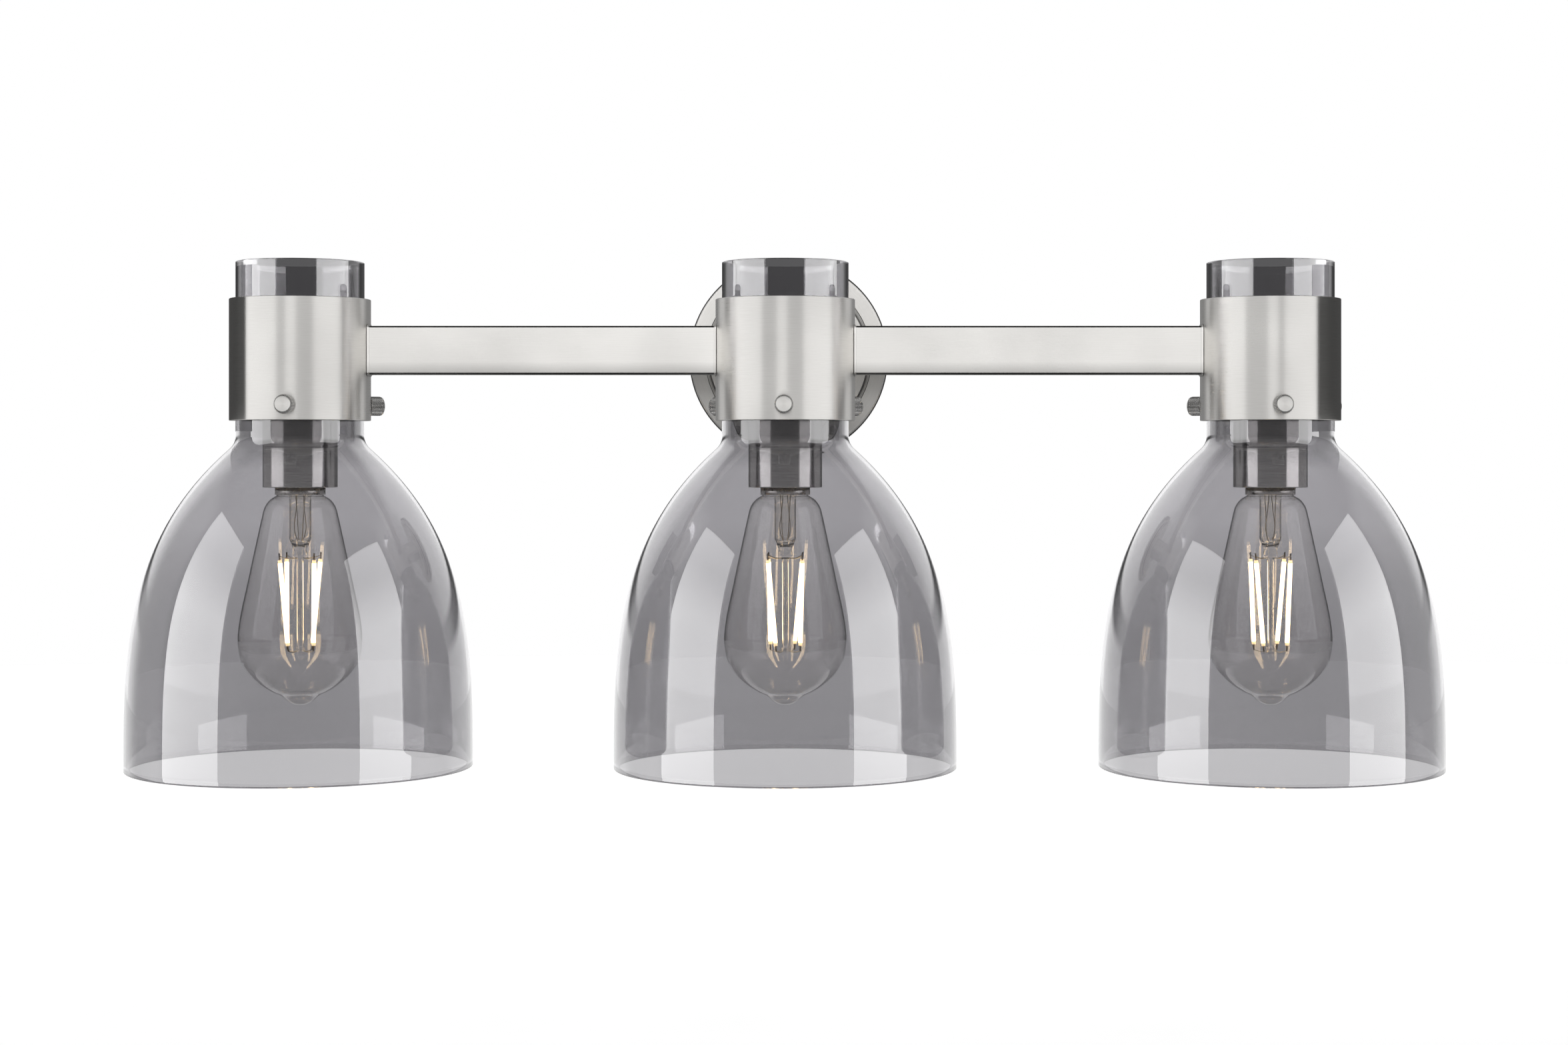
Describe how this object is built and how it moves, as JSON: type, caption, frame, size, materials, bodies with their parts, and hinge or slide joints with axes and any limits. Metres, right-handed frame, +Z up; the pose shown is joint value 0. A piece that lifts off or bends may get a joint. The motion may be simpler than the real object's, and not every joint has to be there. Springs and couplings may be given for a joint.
{
  "type": "vanity light bar",
  "caption": "Wall-mounted vanity light bar: flat tube bar, round canopy, ring holders with thumb screws, open smoked-glass bell shades and clear filament bulbs.",
  "frame": {"origin": "centre of the canopy's back rim, on the wall plane", "axes": "+X along the bar to the viewer's right, +Y into the wall, +Z up; the lights stand out towards -Y and the bells open downwards"},
  "size_m": [0.6876, 0.2078, 0.2743],
  "materials": {
    "nickel": "brushed satin nickel",
    "zinc_steel": "zinc plated",
    "green_paint": "green",
    "smoked_glass": "smoked, smooth",
    "clear_glass": "clear",
    "porcelain": "unglazed",
    "base_metal": "nickel plated",
    "filament": "phosphor, lit"
  },
  "bodies": {
    "fixture": {"canopy": "nickel", "wall_bracket": "zinc_steel", "canopy_screw_left": "zinc_steel", "cap_nut_left": "nickel", "canopy_screw_right": "zinc_steel", "cap_nut_right": "nickel", "ground_screw": "green_paint", "arm_nipple": "zinc_steel", "arm_nut": "zinc_steel", "arm": "nickel", "bar_left": "nickel", "bar_right": "nickel", "holder_ring_left": "nickel", "socket_plate_left": "nickel", "socket_cup_left": "nickel", "lampholder_left": "porcelain", "upper_glass_left": "smoked_glass", "holder_ring_middle": "nickel", "socket_plate_middle": "nickel", "socket_cup_middle": "nickel", "lampholder_middle": "porcelain", "upper_glass_middle": "smoked_glass", "holder_ring_right": "nickel", "socket_plate_right": "nickel", "socket_cup_right": "nickel", "lampholder_right": "porcelain", "upper_glass_right": "smoked_glass"},
    "shade_left": {"bell_shade_left": "smoked_glass"},
    "bulb_thread_left": {"bulb_base_left": "base_metal"},
    "bulb_left": {"bulb_glass_left": "clear_glass", "bulb_stem_left": "clear_glass", "bulb_filaments_left": "filament"},
    "thumb_thread_left_front": {"thumb_shank_left_front": "zinc_steel"},
    "thumb_knob_left_front": {"thumb_head_left_front": "nickel"},
    "thumb_thread_left_back_left": {"thumb_shank_left_back_left": "zinc_steel"},
    "thumb_knob_left_back_left": {"thumb_head_left_back_left": "nickel"},
    "thumb_thread_left_back_right": {"thumb_shank_left_back_right": "zinc_steel"},
    "thumb_knob_left_back_right": {"thumb_head_left_back_right": "nickel"},
    "shade_middle": {"bell_shade_middle": "smoked_glass"},
    "bulb_thread_middle": {"bulb_base_middle": "base_metal"},
    "bulb_middle": {"bulb_glass_middle": "clear_glass", "bulb_stem_middle": "clear_glass", "bulb_filaments_middle": "filament"},
    "thumb_thread_middle_front": {"thumb_shank_middle_front": "zinc_steel"},
    "thumb_knob_middle_front": {"thumb_head_middle_front": "nickel"},
    "thumb_thread_middle_back_left": {"thumb_shank_middle_back_left": "zinc_steel"},
    "thumb_knob_middle_back_left": {"thumb_head_middle_back_left": "nickel"},
    "thumb_thread_middle_back_right": {"thumb_shank_middle_back_right": "zinc_steel"},
    "thumb_knob_middle_back_right": {"thumb_head_middle_back_right": "nickel"},
    "shade_right": {"bell_shade_right": "smoked_glass"},
    "bulb_thread_right": {"bulb_base_right": "base_metal"},
    "bulb_right": {"bulb_glass_right": "clear_glass", "bulb_stem_right": "clear_glass", "bulb_filaments_right": "filament"},
    "thumb_thread_right_front": {"thumb_shank_right_front": "zinc_steel"},
    "thumb_knob_right_front": {"thumb_head_right_front": "nickel"},
    "thumb_thread_right_back_left": {"thumb_shank_right_back_left": "zinc_steel"},
    "thumb_knob_right_back_left": {"thumb_head_right_back_left": "nickel"},
    "thumb_thread_right_back_right": {"thumb_shank_right_back_right": "zinc_steel"},
    "thumb_knob_right_back_right": {"thumb_head_right_back_right": "nickel"}
  },
  "joints": [
    {"name": "shade_left_drop", "type": "slide", "parent": "fixture", "child": "shade_left", "axis": [0, 0, -1], "range_m": [0, 0.06]},
    {"name": "bulb_left_travel", "type": "slide", "parent": "fixture", "child": "bulb_thread_left", "axis": [0, 0, -1], "range_m": [0, 0.02177]},
    {"name": "bulb_left_turn", "type": "hinge", "parent": "bulb_thread_left", "child": "bulb_left", "pos_m": [-0.254, -0.118, -0.1], "axis": [0, 0, -1], "range_deg": [0, 2160]},
    {"name": "thumb_left_front_travel", "type": "slide", "parent": "fixture", "child": "thumb_thread_left_front", "axis": [0, -1, 0], "range_m": [0, 0.00279]},
    {"name": "thumb_left_front_turn", "type": "hinge", "parent": "thumb_thread_left_front", "child": "thumb_knob_left_front", "pos_m": [-0.254, -0.158, -0.0288], "axis": [0, -1, 0], "range_deg": [0, 1440]},
    {"name": "thumb_left_back_left_travel", "type": "slide", "parent": "fixture", "child": "thumb_thread_left_back_left", "axis": [-0.866, 0.5, 0], "range_m": [0, 0.00279]},
    {"name": "thumb_left_back_left_turn", "type": "hinge", "parent": "thumb_thread_left_back_left", "child": "thumb_knob_left_back_left", "pos_m": [-0.28864, -0.098, -0.0288], "axis": [-0.866, 0.5, 0], "range_deg": [0, 1440]},
    {"name": "thumb_left_back_right_travel", "type": "slide", "parent": "fixture", "child": "thumb_thread_left_back_right", "axis": [0.866, 0.5, 0], "range_m": [0, 0.00279]},
    {"name": "thumb_left_back_right_turn", "type": "hinge", "parent": "thumb_thread_left_back_right", "child": "thumb_knob_left_back_right", "pos_m": [-0.21936, -0.098, -0.0288], "axis": [0.866, 0.5, 0], "range_deg": [0, 1440]},
    {"name": "shade_middle_drop", "type": "slide", "parent": "fixture", "child": "shade_middle", "axis": [0, 0, -1], "range_m": [0, 0.06]},
    {"name": "bulb_middle_travel", "type": "slide", "parent": "fixture", "child": "bulb_thread_middle", "axis": [0, 0, -1], "range_m": [0, 0.02177]},
    {"name": "bulb_middle_turn", "type": "hinge", "parent": "bulb_thread_middle", "child": "bulb_middle", "pos_m": [0, -0.118, -0.1], "axis": [0, 0, -1], "range_deg": [0, 2160]},
    {"name": "thumb_middle_front_travel", "type": "slide", "parent": "fixture", "child": "thumb_thread_middle_front", "axis": [0, -1, 0], "range_m": [0, 0.00279]},
    {"name": "thumb_middle_front_turn", "type": "hinge", "parent": "thumb_thread_middle_front", "child": "thumb_knob_middle_front", "pos_m": [0, -0.158, -0.0288], "axis": [0, -1, 0], "range_deg": [0, 1440]},
    {"name": "thumb_middle_back_left_travel", "type": "slide", "parent": "fixture", "child": "thumb_thread_middle_back_left", "axis": [-0.866, 0.5, 0], "range_m": [0, 0.00279]},
    {"name": "thumb_middle_back_left_turn", "type": "hinge", "parent": "thumb_thread_middle_back_left", "child": "thumb_knob_middle_back_left", "pos_m": [-0.03464, -0.098, -0.0288], "axis": [-0.866, 0.5, 0], "range_deg": [0, 1440]},
    {"name": "thumb_middle_back_right_travel", "type": "slide", "parent": "fixture", "child": "thumb_thread_middle_back_right", "axis": [0.866, 0.5, 0], "range_m": [0, 0.00279]},
    {"name": "thumb_middle_back_right_turn", "type": "hinge", "parent": "thumb_thread_middle_back_right", "child": "thumb_knob_middle_back_right", "pos_m": [0.03464, -0.098, -0.0288], "axis": [0.866, 0.5, 0], "range_deg": [0, 1440]},
    {"name": "shade_right_drop", "type": "slide", "parent": "fixture", "child": "shade_right", "axis": [0, 0, -1], "range_m": [0, 0.06]},
    {"name": "bulb_right_travel", "type": "slide", "parent": "fixture", "child": "bulb_thread_right", "axis": [0, 0, -1], "range_m": [0, 0.02177]},
    {"name": "bulb_right_turn", "type": "hinge", "parent": "bulb_thread_right", "child": "bulb_right", "pos_m": [0.254, -0.118, -0.1], "axis": [0, 0, -1], "range_deg": [0, 2160]},
    {"name": "thumb_right_front_travel", "type": "slide", "parent": "fixture", "child": "thumb_thread_right_front", "axis": [0, -1, 0], "range_m": [0, 0.00279]},
    {"name": "thumb_right_front_turn", "type": "hinge", "parent": "thumb_thread_right_front", "child": "thumb_knob_right_front", "pos_m": [0.254, -0.158, -0.0288], "axis": [0, -1, 0], "range_deg": [0, 1440]},
    {"name": "thumb_right_back_left_travel", "type": "slide", "parent": "fixture", "child": "thumb_thread_right_back_left", "axis": [-0.866, 0.5, 0], "range_m": [0, 0.00279]},
    {"name": "thumb_right_back_left_turn", "type": "hinge", "parent": "thumb_thread_right_back_left", "child": "thumb_knob_right_back_left", "pos_m": [0.21936, -0.098, -0.0288], "axis": [-0.866, 0.5, 0], "range_deg": [0, 1440]},
    {"name": "thumb_right_back_right_travel", "type": "slide", "parent": "fixture", "child": "thumb_thread_right_back_right", "axis": [0.866, 0.5, 0], "range_m": [0, 0.00279]},
    {"name": "thumb_right_back_right_turn", "type": "hinge", "parent": "thumb_thread_right_back_right", "child": "thumb_knob_right_back_right", "pos_m": [0.28864, -0.098, -0.0288], "axis": [0.866, 0.5, 0], "range_deg": [0, 1440]}
  ],
  "couplings": [
    {"joint": "bulb_left_turn", "follows": "bulb_left_travel", "rad_per_m": 1731.6},
    {"joint": "thumb_left_front_turn", "follows": "thumb_left_front_travel", "rad_per_m": 8976},
    {"joint": "thumb_left_back_left_turn", "follows": "thumb_left_back_left_travel", "rad_per_m": 8976},
    {"joint": "thumb_left_back_right_turn", "follows": "thumb_left_back_right_travel", "rad_per_m": 8976},
    {"joint": "bulb_middle_turn", "follows": "bulb_middle_travel", "rad_per_m": 1731.6},
    {"joint": "thumb_middle_front_turn", "follows": "thumb_middle_front_travel", "rad_per_m": 8976},
    {"joint": "thumb_middle_back_left_turn", "follows": "thumb_middle_back_left_travel", "rad_per_m": 8976},
    {"joint": "thumb_middle_back_right_turn", "follows": "thumb_middle_back_right_travel", "rad_per_m": 8976},
    {"joint": "bulb_right_turn", "follows": "bulb_right_travel", "rad_per_m": 1731.6},
    {"joint": "thumb_right_front_turn", "follows": "thumb_right_front_travel", "rad_per_m": 8976},
    {"joint": "thumb_right_back_left_turn", "follows": "thumb_right_back_left_travel", "rad_per_m": 8976},
    {"joint": "thumb_right_back_right_turn", "follows": "thumb_right_back_right_travel", "rad_per_m": 8976}
  ]
}
